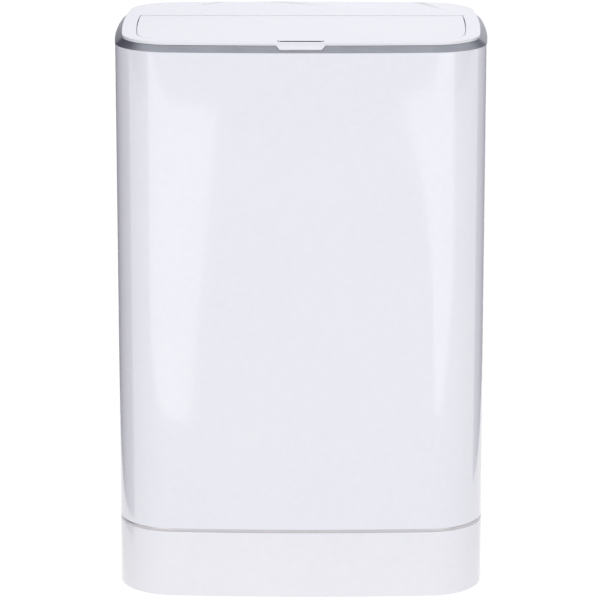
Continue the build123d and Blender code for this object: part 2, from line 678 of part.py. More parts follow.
RODS = {
    "top_rear_rod": (PIVOT_Z, CHEEK_X + CHEEK_THICK + PIN_PROUD),
    "middle_rear_rod": (MID_Z, OUTER_FACE),
}

for label, (z, half_length) in RODS.items():
    with BuildPart() as rod:
        with BuildSketch(across(-half_length, PIVOT_Y, z)):
            Circle(ROD)
        extrude(amount=2 * half_length)
    save(rod, label)

# ---------------------------------------------------------------- press plate
RAIL_FRONT, RAIL_REAR = -94.0, 97.0
RAIL_TOP = LOW_Z + 7.0
RAIL_GAP = 1.5
RIB, RIB_HEIGHT = 3.0, 5.0
LONG_RIBS, LONG_RIB = (-112.0, -24.0, 24.0, 112.0), 150.0
CROSS_RIB, CROSS_RIB_Y = 224.0, 40.0
WIPER_HEIGHT = 3.0

with BuildPart() as press_plate:
    with BuildSketch(Plane.XY.offset(PLATE_BOTTOM)):
        add(footprint(PLATE_INSET))
    extrude(amount=PLATE_TOP - PLATE_BOTTOM)
    with BuildSketch(Plane.XY.offset(PLATE_TOP)):
        with Locations([(x, 0) for x in LONG_RIBS]):
            Rectangle(RIB, LONG_RIB)
        with Locations((0, CROSS_RIB_Y)):
            Rectangle(CROSS_RIB, RIB)
    extrude(amount=RIB_HEIGHT)
save(press_plate, "press_plate")

with BuildPart() as plate_wiper:
    with BuildSketch(Plane.XY.offset(PLATE_BOTTOM)):
        add(band(WIPER_INSET, PLATE_INSET))
    extrude(amount=WIPER_HEIGHT)
save(plate_wiper, "plate_wiper")

with BuildPart() as plate_rails:
    for face_x in (-INNER_BARS + RAIL_GAP, RAIL_X):
        with BuildSketch(across(face_x, 0, 0)):
            with Locations(((RAIL_FRONT + RAIL_REAR) / 2, (PLATE_TOP + RAIL_TOP) / 2)):
                Rectangle(RAIL_REAR - RAIL_FRONT, RAIL_TOP - PLATE_TOP)
            with Locations((FRONT_Y + SLIDE / 2, LOW_Z)):
                SlotCenterToCenter(SLIDE + SLOT_EXTRA, 2 * (ROD + SLOT_PLAY), mode=Mode.SUBTRACT)
            with Locations((PIVOT_Y, LOW_Z)):
                Circle(ROD + FIT, mode=Mode.SUBTRACT)
        extrude(amount=INNER_BARS - RAIL_GAP - RAIL_X)
save(plate_rails, "plate_rails")

HANDLE_FOOT = 3.0
HANDLE_BEND = 16.0
HANDLE_PALM = (22.0, 44.0, 6.0)
HANDLE_SCREW_STEP, HANDLE_HEAD, HANDLE_HEAD_THICK = 15.0, 3.6, 2.2
GRIP_CHAMFER = 1.5

with BuildPart() as handle_bow:
    with BuildLine(Plane.XZ.offset(-HANDLE_Y)) as bow_path:
        Polyline(
            (-HANDLE_SPAN / 2, PLATE_TOP + HANDLE_FOOT),
            (-HANDLE_SPAN / 2, HANDLE_TOP),
            (HANDLE_SPAN / 2, HANDLE_TOP),
            (HANDLE_SPAN / 2, PLATE_TOP + HANDLE_FOOT),
        )
        fillet(bow_path.vertices().group_by(Axis.Z)[-1], HANDLE_BEND)
    with BuildSketch(Plane.XY.offset(PLATE_TOP + HANDLE_FOOT)):
        with Locations((-HANDLE_SPAN / 2, HANDLE_Y)):
            Circle(HANDLE_BAR)
    sweep()
    with BuildSketch(Plane.XY.offset(PLATE_TOP)):
        with Locations((-HANDLE_SPAN / 2, HANDLE_Y), (HANDLE_SPAN / 2, HANDLE_Y)):
            RectangleRounded(*HANDLE_PALM)
    extrude(amount=HANDLE_FOOT)
save(handle_bow, "handle_bow")

HANDLE_SCREWS = [
    (side * HANDLE_SPAN / 2, HANDLE_Y + end * HANDLE_SCREW_STEP)
    for side in (-1, 1)
    for end in (-1, 1)
]

with BuildPart() as handle_screws:
    with BuildSketch(Plane.XY.offset(PLATE_TOP + HANDLE_FOOT)):
        with Locations(HANDLE_SCREWS):
            Circle(HANDLE_HEAD)
    extrude(amount=HANDLE_HEAD_THICK)
save(handle_screws, "handle_screws")

with BuildPart() as handle_grip:
    with BuildSketch(across(-GRIP_LENGTH / 2, HANDLE_Y, HANDLE_TOP)):
        Circle(GRIP_RADIUS)
        Circle(HANDLE_BAR + FIT, mode=Mode.SUBTRACT)
    extrude(amount=GRIP_LENGTH)
    chamfer(handle_grip.edges().filter_by(GeomType.CIRCLE).group_by(SortBy.RADIUS)[-1], GRIP_CHAMFER)
save(handle_grip, "handle_grip")
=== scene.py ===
"""Finished look of a hand-worked household trash compactor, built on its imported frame.

Lengths are in metres. Sizes that a maker would quote in millimetres are written as
``n * MM``. The bin stands on z = 0 with its front towards -Y.
"""

import json
import logging
import math
from dataclasses import dataclass, field
from enum import Enum
from typing import Any

import bmesh
import bpy
from mathutils import Matrix, Vector

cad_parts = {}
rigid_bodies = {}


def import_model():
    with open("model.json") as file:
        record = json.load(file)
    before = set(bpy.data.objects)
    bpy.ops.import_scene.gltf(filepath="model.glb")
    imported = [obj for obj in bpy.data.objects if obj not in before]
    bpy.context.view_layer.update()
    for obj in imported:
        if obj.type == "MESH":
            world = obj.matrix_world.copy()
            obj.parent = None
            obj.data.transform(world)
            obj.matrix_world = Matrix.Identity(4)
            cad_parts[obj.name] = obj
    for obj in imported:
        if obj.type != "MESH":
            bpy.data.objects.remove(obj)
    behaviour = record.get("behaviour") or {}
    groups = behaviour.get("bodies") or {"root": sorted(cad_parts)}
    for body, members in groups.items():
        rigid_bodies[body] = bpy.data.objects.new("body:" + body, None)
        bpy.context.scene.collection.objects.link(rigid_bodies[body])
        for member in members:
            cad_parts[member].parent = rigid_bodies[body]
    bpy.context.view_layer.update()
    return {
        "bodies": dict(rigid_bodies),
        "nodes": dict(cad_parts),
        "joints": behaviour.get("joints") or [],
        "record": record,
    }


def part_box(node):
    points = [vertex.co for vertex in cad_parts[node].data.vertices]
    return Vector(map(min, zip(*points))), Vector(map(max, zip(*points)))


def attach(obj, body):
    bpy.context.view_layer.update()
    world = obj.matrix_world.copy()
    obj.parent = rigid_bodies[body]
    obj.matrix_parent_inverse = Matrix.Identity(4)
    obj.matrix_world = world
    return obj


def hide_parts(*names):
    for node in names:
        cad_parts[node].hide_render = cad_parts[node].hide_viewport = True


MM = 0.001
CREASE = 32.0
BLUNT_CREASE = 40.0
WELD = 0.005 * MM
CAD_WELD = 0.004 * MM
SOLID_WELD = 0.01 * MM
QUARTER_TURN = math.pi / 2
LOG = logging.getLogger("compactor")


# ------------------------------------------------------------------ node helpers
def linear(code: str) -> tuple[float, float, float, float]:
    """Turn an sRGB hex colour into linear light.

    Args:
        code: six hex digits, such as "F2F2F5".

    Returns:
        Linear red, green, blue and an alpha of 1.
    """
    parts = [int(code[i : i + 2], 16) / 255 for i in (0, 2, 4)]
    light = [c / 12.92 if c <= 0.04045 else ((c + 0.055) / 1.055) ** 2.4 for c in parts]
    return (light[0], light[1], light[2], 1.0)


def add_node(tree: bpy.types.NodeTree, kind: str, inputs: dict | None = None, **settings: Any):
    """Add a node, set its properties, and fill or link its inputs.

    Args:
        tree: the node tree to add to.
        kind: the node's type name.
        inputs: socket name or index to a value, or to an output socket to link from.
        **settings: properties of the node itself.

    Returns:
        The new node.
    """
    node = tree.nodes.new(kind)
    for name, value in settings.items():
        setattr(node, name, value)
    for key, value in (inputs or {}).items():
        if isinstance(value, bpy.types.NodeSocket):
            tree.links.new(value, node.inputs[key])
        else:
            node.inputs[key].default_value = value
    return node


# ------------------------------------------------------------------ finishes
class Grain(Enum):
    """How a surface breaks up close to."""

    PEEL = "soft orange peel of a stoved enamel or a polished mould"
    SPARK = "spark-eroded mould grain"
    BRUSHED = "fine lines that run round the part"
    TURNED = "fine rings across a turned pin"
    CLOUD = "cloudy plating"
    FOAM = "open cells"


WEAR_FROM, WEAR_TO = 0.1, 0.5
DRIFT_DETAIL, DRIFT_ROUGHNESS = 4.0, 0.6
PEEL_DETAIL, GRAIN_DETAIL, GRAIN_ROUGHNESS = 2.0, 5.0, 0.55
# How far each pattern is squeezed along X, Y and Z; a small number draws it out.
STRETCH = {
    Grain.PEEL: (1.0, 1.0, 1.0),
    Grain.SPARK: (1.0, 1.0, 1.0),
    Grain.BRUSHED: (0.02, 0.02, 1.0),
    Grain.TURNED: (1.0, 0.03, 0.03),
    Grain.CLOUD: (1.0, 1.0, 1.0),
    Grain.FOAM: (1.0, 1.0, 1.0),
}


@dataclass(frozen=True)
class Finish:
    """A material as its maker would specify it."""

    name: str
    colour: str
    worn_colour: str
    roughness: float
    spread: float
    grain: Grain
    grain_size: float
    bump: float
    metallic: float = 0.0
    ior: float = 1.5
    coat: float = 0.0
    coat_roughness: float = 0.04
    smoothest: float = 0.02
    drift_size: float = 60 * MM

    def material(self) -> bpy.types.Material:
        """Build the node material once, and hand the same one back afterwards."""
        known = bpy.data.materials.get(self.name)
        if known:
            return known
        made = bpy.data.materials.new(self.name)
        made.use_nodes = True
        tree = made.node_tree
        tree.nodes.clear()
        place = add_node(tree, "ShaderNodeTexCoord").outputs["Object"]
        fine_place = add_node(
            tree, "ShaderNodeMapping", {"Vector": place, "Scale": STRETCH[self.grain]}
        )
        fine = self._fine(tree, fine_place.outputs["Vector"])
        drift = add_node(
            tree,
            "ShaderNodeTexNoise",
            {
                "Vector": place,
                "Scale": 1 / self.drift_size,
                "Detail": DRIFT_DETAIL,
                "Roughness": DRIFT_ROUGHNESS,
            },
        )
        mixed = add_node(
            tree,
            "ShaderNodeMix",
            {"Factor": self._share(tree, drift.outputs["Fac"], fine)},
            data_type="RGBA",
        )
        mixed.inputs["A"].default_value = linear(self.colour)
        mixed.inputs["B"].default_value = linear(self.worn_colour)
        rough = add_node(
            tree,
            "ShaderNodeMapRange",
            {
                "Value": fine,
                "To Min": max(self.smoothest, self.roughness - self.spread),
                "To Max": self.roughness + self.spread,
            },
        )
        bump = add_node(
            tree, "ShaderNodeBump", {"Height": fine, "Strength": 1.0, "Distance": self.bump}
        )
        shader = add_node(
            tree,
            "ShaderNodeBsdfPrincipled",
            {
                "Base Color": mixed.outputs["Result"],
                "Roughness": rough.outputs["Result"],
                "Normal": bump.outputs["Normal"],
                "Metallic": self.metallic,
                "Coat Weight": self.coat,
                "Coat Roughness": self.coat_roughness,
            },
        )
        if not self.metallic:
            shader.inputs["IOR"].default_value = self.ior
        add_node(tree, "ShaderNodeOutputMaterial", {"Surface": shader.outputs["BSDF"]})
        return made

    def _fine(self, tree: bpy.types.NodeTree, place: bpy.types.NodeSocket):
        """The close-up pattern as a height from 0 to 1."""
        if self.grain is Grain.FOAM:
            cells = add_node(
                tree, "ShaderNodeTexVoronoi", {"Vector": place, "Scale": 1 / self.grain_size}
            )
            return cells.outputs["Distance"]
        noise = add_node(
            tree,
            "ShaderNodeTexNoise",
            {
                "Vector": place,
                "Scale": 1 / self.grain_size,
                "Detail": PEEL_DETAIL if self.grain is Grain.PEEL else GRAIN_DETAIL,
                "Roughness": GRAIN_ROUGHNESS,
            },
        )
        return noise.outputs["Fac"]

    def _share(self, tree: bpy.types.NodeTree, drift: bpy.types.NodeSocket, fine):
        """How far the worn colour shows, from slow drift and a little of the fine pattern."""
        weight = add_node(tree, "ShaderNodeMath", {0: drift, 1: fine}, operation="MULTIPLY")
        share = add_node(
            tree,
            "ShaderNodeMapRange",
            {"Value": weight.outputs[0], "From Min": WEAR_FROM, "From Max": WEAR_TO},
        )
        return share.outputs["Result"]


class Finishes:
    """Every finish on the bin."""

    # Stoved gloss enamel on sheet steel: a hard clear top with a very faint peel.
    ENAMEL = Finish(
        "stoved_white_enamel", "EDEDF2", "E9E9EF", 0.10, 0.015,
        Grain.PEEL, 7 * MM, 0.006 * MM, ior=1.55, coat=0.5, drift_size=180 * MM,
    )
    # Injection-moulded ABS from a polished tool: bright, a touch softer than the enamel.
    ABS = Finish(
        "polished_white_abs", "EFEFF2", "EBEBEF", 0.13, 0.02,
        Grain.PEEL, 9 * MM, 0.008 * MM, ior=1.54, coat=0.3, drift_size=140 * MM,
    )
    # Bead-blasted then clear anodised aluminium strip, brushed along its length.
    ALUMINIUM = Finish(
        "satin_anodised_aluminium", "A8ABB0", "96999F", 0.34, 0.07,
        Grain.BRUSHED, 0.5 * MM, 0.02 * MM, metallic=1.0, drift_size=40 * MM,
    )
    # The lower strip: the same metal, anodised a shade brighter and warmer.
    BRIGHT_ALUMINIUM = Finish(
        "bright_anodised_aluminium", "CDCACD", "BCB9BD", 0.30, 0.06,
        Grain.BRUSHED, 0.5 * MM, 0.02 * MM, metallic=1.0, drift_size=40 * MM,
    )
    # Glass-filled nylon: dry, dark and slightly mottled where the fibres come up.
    NYLON = Finish(
        "glass_filled_nylon", "2E3034", "3B3D42", 0.52, 0.08,
        Grain.SPARK, 0.9 * MM, 0.05 * MM, ior=1.53, drift_size=25 * MM,
    )
    # Polypropylene bucket: waxy, with a fine tool texture.
    POLYPROPYLENE = Finish(
        "textured_polypropylene", "94989D", "8B8F95", 0.40, 0.06,
        Grain.SPARK, 1.4 * MM, 0.05 * MM, ior=1.49, drift_size=80 * MM,
    )
    # EPDM rubber: nearly black, chalky in the high spots.
    RUBBER = Finish(
        "black_epdm_rubber", "18191B", "26272A", 0.68, 0.1,
        Grain.SPARK, 0.7 * MM, 0.06 * MM, ior=1.52, drift_size=18 * MM,
    )
    # Zinc-plated steel: cool, cloudy plating.
    ZINC = Finish(
        "zinc_plated_steel", "BFC3C8", "A3A8AE", 0.30, 0.09,
        Grain.CLOUD, 3 * MM, 0.01 * MM, metallic=1.0, drift_size=12 * MM,
    )
    # Ground steel pin stock: bright, with faint turning rings.
    GROUND_STEEL = Finish(
        "ground_steel", "C9CBCE", "B4B6BA", 0.17, 0.05,
        Grain.TURNED, 0.4 * MM, 0.01 * MM, metallic=1.0, drift_size=15 * MM,
    )
    # Nickel-plated steel strip, blanked and tumbled: rolled lines under a soft shine.
    LINK_STEEL = Finish(
        "tumbled_nickel_plate", "B3B2AE", "9A9995", 0.27, 0.08,
        Grain.BRUSHED, 0.6 * MM, 0.02 * MM, metallic=1.0, drift_size=22 * MM,
    )
    # Oil-tempered spring wire: blue-grey drawn wire.
    SPRING = Finish(
        "oil_tempered_wire", "6A6E76", "555960", 0.33, 0.08,
        Grain.CLOUD, 1.2 * MM, 0.01 * MM, metallic=1.0, drift_size=8 * MM,
    )
    # Nickel-plated magnet.
    NICKEL = Finish(
        "nickel_plated_magnet", "B9BABC", "A5A6A9", 0.22, 0.05,
        Grain.CLOUD, 2 * MM, 0.01 * MM, metallic=1.0, drift_size=6 * MM,
    )
    # Carbon-loaded open-cell foam: matt black cells about 1.5 mm across.
    FOAM = Finish(
        "carbon_loaded_foam", "141415", "242426", 0.92, 0.05,
        Grain.FOAM, 1.5 * MM, 0.7 * MM, ior=1.4, drift_size=20 * MM,
    )


CAD_FINISHES = {
    Finishes.ABS: ("lid_frame",),
    Finishes.ALUMINIUM: ("top_trim_ring", "handle_bow"),
    Finishes.NYLON: (
        "bottom_cover", "rim_frame", "bag_retainer", "press_carrier", "filter_frame",
        "press_plate", "plate_rails",
    ),
    Finishes.POLYPROPYLENE: ("bucket", "flap_liner"),
    Finishes.RUBBER: ("bucket_pads", "lid_gasket", "flap_seal", "plate_wiper", "foot_pads"),
    Finishes.ZINC: ("hinge_brackets",),
    Finishes.GROUND_STEEL: (
        "lid_hinge_pins", "flap_pins", "top_rear_rod", "middle_rear_rod", "upper_centre_pins",
        "front_link_pins", "lower_centre_pins", "top_slider_pins", "bottom_slider_pins",
        "plate_pins",
    ),
    Finishes.LINK_STEEL: (
        "outer_upper_arms", "inner_upper_arms", "outer_lower_arms", "inner_lower_arms",
    ),
    Finishes.NICKEL: ("catch_magnets",),
    Finishes.FOAM: ("filter_pad",),
}


# ------------------------------------------------------------------ meshes
def new_piece(name: str, mesh: bpy.types.Mesh, finish: Finish) -> bpy.types.Object:
    """Link a finished mesh into the scene with its finish.

    Args:
        name: the piece's name.
        mesh: its mesh, already in place.
        finish: the finish it wears.

    Returns:
        The new object.
    """
    piece = bpy.data.objects.new(name, mesh)
    bpy.context.scene.collection.objects.link(piece)
    mesh.materials.clear()
    mesh.materials.append(finish.material())
    return piece


def close_mesh(name: str, work: bmesh.types.BMesh, crease: float = CREASE) -> bpy.types.Mesh:
    """Merge doubles, turn the faces outwards, and smooth all but the sharp edges."""
    bmesh.ops.remove_doubles(work, verts=work.verts, dist=WELD)
    bmesh.ops.recalc_face_normals(work, faces=work.faces)
    mesh = bpy.data.meshes.new(name)
    work.to_mesh(mesh)
    work.free()
    mesh.shade_smooth()
    mesh.set_sharp_from_angle(angle=math.radians(crease))
    return mesh


@dataclass
class Outline:
    """The bin's rounded plan with bowed sides, sampled once and moved in by its normals."""

    width: float
    depth: float
    corner: float = 64 * MM
    front_bow: float = 9 * MM
    side_bow: float = 8.5 * MM
    side_steps: int = 30
    corner_steps: int = 18
    arc_passes: int = 8
    points: list[tuple[Vector, Vector]] = field(default_factory=list)

    def __post_init__(self) -> None:
        """Work the arcs out and sample them anticlockwise from the right-hand corner."""
        front = self._radius(self.width / 2 - self.side_bow, self.front_bow)
        side = self._radius(self.depth / 2 - self.front_bow, self.side_bow)
        x, y = self.width / 2 - self.corner, self.depth / 2 - self.corner
        for _ in range(self.arc_passes):
            y = self.depth / 2 - front + math.sqrt((front - self.corner) ** 2 - x * x)
            x = self.width / 2 - side + math.sqrt((side - self.corner) ** 2 - y * y)
        low = math.atan2(y, x - self.width / 2 + side)
        high = math.atan2(y - self.depth / 2 + front, x)
        quarter = [
            (x, y, self.corner, low, high, self.corner_steps),
            (0.0, self.depth / 2 - front, front, high, math.pi - high, self.side_steps),
            (-x, y, self.corner, math.pi - high, math.pi - low, self.corner_steps),
            (side - self.width / 2, 0.0, side, math.pi - low, math.pi + low, self.side_steps),
        ]
        for turn in (0, 1):
            for cx, cy, radius, start, stop, steps in quarter:
                sign = -1.0 if turn else 1.0
                for step in range(steps):
                    angle = start + (stop - start) * step / steps
                    normal = sign * Vector((math.cos(angle), math.sin(angle), 0.0))
                    centre = sign * Vector((cx, cy, 0.0))
                    self.points.append((centre + radius * normal, normal))

    @staticmethod
    def _radius(half: float, bow: float) -> float:
        """Radius of an arc that bows by a height over twice a half length."""
        return (half * half + bow * bow) / (2 * bow)

    def ring(self, inset: float, z: float, rear: float | None = None) -> list[Vector]:
        """The outline at an inset and a height, cut straight across at the rear if asked.

        Args:
            inset: how far in from the outline.
            z: height of the ring.
            rear: the y that no point passes, or None.

        Returns:
            One point for each sample of the outline.
        """
        ring = []
        for point, normal in self.points:
            place = point - inset * normal
            y = place.y if rear is None else min(place.y, rear)
            ring.append(Vector((place.x, y, z)))
        return ring

    def sweep(
        self,
        name: str,
        profile: list[tuple[float, float]],
        rear: float | None = None,
        solid: bool = False,
        crease: float = CREASE,
    ) -> bpy.types.Mesh:
        """Carry a profile of insets and heights round the outline.

        Args:
            name: the mesh's name.
            profile: pairs of inset and height.
            rear: where the outline is cut straight across, or None.
            solid: True to cap the two ends, False to close the profile on itself.
            crease: edges sharper than this many degrees stay sharp.

        Returns:
            A closed mesh.
        """
        work = bmesh.new()
        rings = [
            [work.verts.new(point) for point in self.ring(inset, z, rear)] for inset, z in profile
        ]
        count = len(self.points)
        pairs = list(zip(rings, rings[1:]))
        if not solid:
            pairs.append((rings[-1], rings[0]))
        for lower, upper in pairs:
            for i in range(count):
                j = (i + 1) % count
                work.faces.new((lower[i], lower[j], upper[j], upper[i]))
        if solid:
            work.faces.new(rings[0])
            work.faces.new(rings[-1])
        return close_mesh(name, work, crease)


def rounded(inset: float, z: float, radius: float, start: float, stop: float, steps: int = 5):
    """Profile points round an edge.

    Args:
        inset: inset of the round's centre.
        z: height of the round's centre.
        radius: the round's radius.
        start: first angle in degrees, 0 straight out and 90 straight up.
        stop: last angle in degrees.
        steps: how many spans the round has.

    Returns:
        Pairs of inset and height.
    """
    turns = [math.radians(start + (stop - start) * i / steps) for i in range(steps + 1)]
    return [(inset - radius * math.cos(t), z + radius * math.sin(t)) for t in turns]


def solids_of(node: str) -> list[tuple[Vector, Vector]]:
    """The lowest and highest corners of each separate solid in a CAD node."""
    work = bmesh.new()
    work.from_mesh(bpy.data.objects[node].data)
    bmesh.ops.remove_doubles(work, verts=work.verts, dist=SOLID_WELD)
    left = set(work.verts)
    found = []
    while left:
        group = [left.pop()]
        for vert in group:
            for edge in vert.link_edges:
                other = edge.other_vert(vert)
                if other in left:
                    left.remove(other)
                    group.append(other)
        corners = [[pick(v.co[axis] for v in group) for axis in range(3)] for pick in (min, max)]
        found.append((Vector(corners[0]), Vector(corners[1])))
    work.free()
    return sorted(found, key=lambda pair: tuple(round(c, 5) for c in pair[0]))


# ------------------------------------------------------------------ geometry nodes
COIL_STEPS, WIRE_SIDES = 26, 10
RING_STEPS, RING_SIDES = 48, 8
STUD_SIDES = 12


class NodeTool:
    """A geometry-nodes tree with named sizes, run once and baked to a plain mesh."""

    def __init__(self, name: str, sizes: dict[str, float]) -> None:
        """Start a tree.

        Args:
            name: the tree's name.
            sizes: named float inputs and their values.
        """
        self.name = name
        self.sizes = sizes
        self.tree = bpy.data.node_groups.new(name, "GeometryNodeTree")
        face = self.tree.interface
        face.new_socket("Geometry", in_out="INPUT", socket_type="NodeSocketGeometry")
        for label in sizes:
            face.new_socket(label, in_out="INPUT", socket_type="NodeSocketFloat")
        face.new_socket("Geometry", in_out="OUTPUT", socket_type="NodeSocketGeometry")
        self.input = add_node(self.tree, "NodeGroupInput")

    def add(self, kind: str, inputs: dict | None = None, **settings: Any):
        """Add a node to this tree."""
        return add_node(self.tree, kind, inputs, **settings)

    def size(self, label: str) -> bpy.types.NodeSocket:
        """The socket of a named size."""
        return self.input.outputs[label]

    def vector(self, x: Any = 0.0, y: Any = 0.0, z: Any = 0.0) -> bpy.types.NodeSocket:
        """A vector from three values or sockets."""
        return self.add("ShaderNodeCombineXYZ", {"X": x, "Y": y, "Z": z}).outputs[0]

    def times(self, first: Any, second: Any) -> bpy.types.NodeSocket:
        """The product of two values or sockets."""
        return self.add("ShaderNodeMath", {0: first, 1: second}, operation="MULTIPLY").outputs[0]

    def join(self, *parts: bpy.types.NodeSocket) -> bpy.types.NodeSocket:
        """Several geometries as one."""
        joined = self.add("GeometryNodeJoinGeometry")
        for part in parts:
            self.tree.links.new(part, joined.inputs[0])
        return joined.outputs[0]

    def at_seeds(
        self, instance: bpy.types.NodeSocket, turn: tuple[float, float, float] = (0.0, 0.0, 0.0)
    ) -> bpy.types.NodeSocket:
        """A copy of a geometry at every seed point, turned by the same angles."""
        placed = self.add(
            "GeometryNodeInstanceOnPoints",
            {"Points": self.input.outputs["Geometry"], "Instance": instance, "Rotation": turn},
        )
        return placed.outputs[0]

    def bake(
        self, piece: str, geometry: bpy.types.NodeSocket, finish: Finish, seeds: list[Vector]
    ) -> bpy.types.Object:
        """Finish the tree, run it on the seed points, and keep the result as a plain mesh.

        Args:
            piece: name of the piece.
            geometry: the last geometry socket.
            finish: the finish that the tree sets.
            seeds: the points that the tree works from.

        Returns:
            The baked object.
        """
        real = self.add("GeometryNodeRealizeInstances", {"Geometry": geometry})
        dressed = self.add(
            "GeometryNodeSetMaterial",
            {"Geometry": real.outputs[0], "Material": finish.material()},
        )
        self.add("NodeGroupOutput", {"Geometry": dressed.outputs[0]})
        mesh = bpy.data.meshes.new(piece + "_seeds")
        mesh.from_pydata([tuple(seed) for seed in seeds], [], [])
        carrier = bpy.data.objects.new(piece + "_seeds", mesh)
        bpy.context.scene.collection.objects.link(carrier)
        modifier = carrier.modifiers.new(self.name, "NODES")
        modifier.node_group = self.tree
        for item in self.tree.interface.items_tree:
            if item.in_out == "INPUT" and item.name in self.sizes:
                modifier[item.identifier] = float(self.sizes[item.name])
        ready = carrier.evaluated_get(bpy.context.evaluated_depsgraph_get())
        baked = bpy.data.meshes.new_from_object(ready)
        bpy.data.objects.remove(carrier)
        work = bmesh.new()
        work.from_mesh(baked)
        return new_piece(piece, close_mesh(piece, work), finish)


@dataclass(frozen=True)
class PanHead:
    """The sizes of a pan-head screw with a cross recess."""

    head: float
    height: float = 1.4 * MM
    recess_width: float = 0.7 * MM
    recess_depth: float = 1.6 * MM
    recess_span: float = 1.25
    shank: float = 0.45
    shank_share: float = 0.86
    overlap: float = 1.0 * MM
    turn: float = 0.4
    head_sides: int = 28
    shank_sides: int = 20

    def build(self, piece: str, node: str, up: float, finish: Finish) -> bpy.types.Object:
        """Set a screw on each solid of a CAD node.

        Args:
            piece: the new piece's name.
            node: the CAD node whose solids give the places.
            up: 1 where the heads face up, -1 where they face down.
            finish: the screws' finish.

        Returns:
            The baked piece.
        """
        solids = solids_of(node)
        places = []
        for low, high in solids:
            middle = (low + high) / 2
            places.append(Vector((middle.x, middle.y, high.z if up > 0 else low.z)))
        low, high = solids[0]
        sizes = {"Head": self.head, "Height": self.height, "Shank": high.z - low.z}
        tool = NodeTool(piece + "_tool", sizes)
        screw = tool.join(self._head(tool), self._shank(tool))
        turn = (0.0 if up > 0 else math.pi, 0.0, self.turn)
        return tool.bake(piece, tool.at_seeds(screw, turn), finish, places)

    def _head(self, tool: NodeTool) -> bpy.types.NodeSocket:
        """The head, its top at the origin, with the cross cut out of it."""
        disc = tool.add(
            "GeometryNodeMeshCylinder",
            {
                "Vertices": self.head_sides,
                "Radius": tool.size("Head"),
                "Depth": tool.size("Height"),
            },
        )
        drop = tool.times(tool.size("Height"), -0.5)
        seated = tool.add(
            "GeometryNodeTransform",
            {"Geometry": disc.outputs["Mesh"], "Translation": tool.vector(z=drop)},
        )
        span = tool.times(tool.size("Head"), self.recess_span)
        blade = tool.vector(span, self.recess_width, self.recess_depth)
        first = tool.add("GeometryNodeMeshCube", {"Size": blade})
        second = tool.add(
            "GeometryNodeTransform",
            {"Geometry": first.outputs["Mesh"], "Rotation": (0.0, 0.0, QUARTER_TURN)},
        )
        cut = tool.add(
            "GeometryNodeMeshBoolean",
            {
                "Mesh 1": seated.outputs[0],
                "Mesh 2": tool.join(first.outputs["Mesh"], second.outputs[0]),
            },
            operation="DIFFERENCE",
        )
        return cut.outputs[0]

    def _shank(self, tool: NodeTool) -> bpy.types.NodeSocket:
        """The shank, hung from inside the head."""
        rod = tool.add(
            "GeometryNodeMeshCylinder",
            {
                "Vertices": self.shank_sides,
                "Radius": tool.times(tool.size("Head"), self.shank),
                "Depth": tool.size("Shank"),
            },
        )
        drop = tool.add(
            "ShaderNodeMath",
            {0: tool.times(tool.size("Shank"), -0.5), 1: -self.overlap},
            operation="ADD",
        )
        hung = tool.add(
            "GeometryNodeTransform",
            {
                "Geometry": rod.outputs["Mesh"],
                "Translation": tool.vector(z=drop.outputs[0]),
                "Scale": (1.0, 1.0, self.shank_share),
            },
        )
        return hung.outputs[0]


def wound_springs(
    piece: str, node: str, wire: float, finish: Finish, pitch: float = 1.12
) -> bpy.types.Object:
    """Torsion springs wound along X, one in the space of each sleeve of a CAD node.

    Args:
        piece: the new piece's name.
        node: the CAD node whose sleeves give the places.
        wire: the wire's diameter.
        finish: the springs' finish.
        pitch: distance from one turn to the next, in wire diameters.

    Returns:
        The baked piece.
    """
    sleeves = solids_of(node)
    low, high = sleeves[0]
    length, outer = high.x - low.x, (high.z - low.z) / 2
    centres = [(a + b) / 2 for a, b in sleeves]
    sizes = {"Length": length - wire, "Radius": outer - wire / 2, "Wire": wire / 2}
    tool = NodeTool(piece + "_tool", sizes)
    helix = tool.add(
        "GeometryNodeCurveSpiral",
        {
            "Resolution": COIL_STEPS,
            "Rotations": (length - wire) / (wire * pitch),
            "Start Radius": tool.size("Radius"),
            "End Radius": tool.size("Radius"),
            "Height": tool.size("Length"),
        },
    )
    round_wire = tool.add("GeometryNodeCurvePrimitiveCircle", {"Resolution": WIRE_SIDES})
    tool.tree.links.new(tool.size("Wire"), round_wire.inputs["Radius"])
    coil = tool.add(
        "GeometryNodeCurveToMesh",
        {"Curve": helix.outputs[0], "Profile Curve": round_wire.outputs[0], "Fill Caps": True},
    )
    laid = tool.add(
        "GeometryNodeTransform",
        {
            "Geometry": coil.outputs[0],
            "Translation": tool.vector(tool.times(tool.size("Length"), -0.5)),
            "Rotation": (0.0, QUARTER_TURN, 0.0),
        },
    )
    return tool.bake(piece, tool.at_seeds(laid.outputs[0]), finish, centres)


